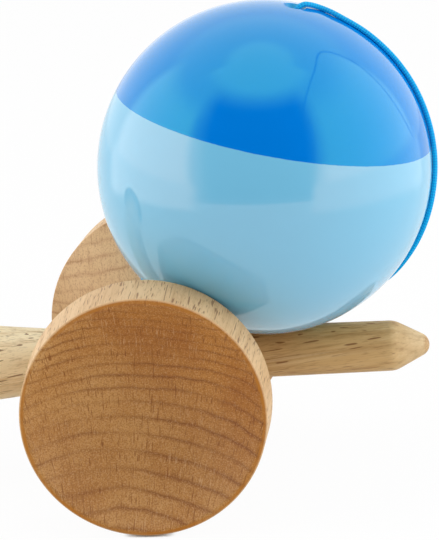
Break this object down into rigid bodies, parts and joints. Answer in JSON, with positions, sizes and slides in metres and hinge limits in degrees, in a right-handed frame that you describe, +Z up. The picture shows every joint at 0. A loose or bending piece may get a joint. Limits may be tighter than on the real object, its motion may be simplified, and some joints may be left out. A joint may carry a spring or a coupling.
{
  "type": "cup and ball toy",
  "caption": "Wooden cup and ball toy: a turned handle with a spike and base cup, a crosspiece with side cups, and a bored, two-tone painted ball on a string.",
  "frame": {"origin": "on the table, under the middle of the lying toy without its free string", "axes": "+X along the handle toward the spike, +Y from the front cup to the back cup, +Z up"},
  "size_m": [0.1705, 0.0913, 0.0879],
  "materials": {
    "handle_beech": "fine sanded, bare beech",
    "crosspiece_beech": "fine sanded, bare beech, end grain on the cup faces",
    "ball_paint": "gloss paint in two blues under a clear coat",
    "bead_wood": "bare wood",
    "string": "braided polyester",
    "tie": "soft tape"
  },
  "bodies": {
    "handle": {"handle": "handle_beech", "handle_knot": "string"},
    "crosspiece": {"crosspiece": "crosspiece_beech", "string_lower": "string", "string_coil": "string", "coil_tie": "tie"},
    "string_end": {"string_upper": "string", "bead_knot": "string", "bead": "bead_wood"},
    "ball": {"ball": "ball_paint"}
  },
  "joints": [
    {"name": "crosspiece_pull", "type": "slide", "parent": "handle", "child": "crosspiece", "axis": [0.9997, 0, 0.0241], "range_m": [0, 0.062]},
    {"name": "ball_lift", "type": "slide", "parent": "crosspiece", "child": "string_end", "axis": [0, 0, 1], "range_m": [0, 0.3], "deforming": ["string_upper"]},
    {"name": "ball_spin", "type": "hinge", "parent": "string_end", "child": "ball", "pos_m": [0.05453, 0, 0.05766], "axis": [0.2172, 0.0253, 0.9758], "continuous": true}
  ]
}
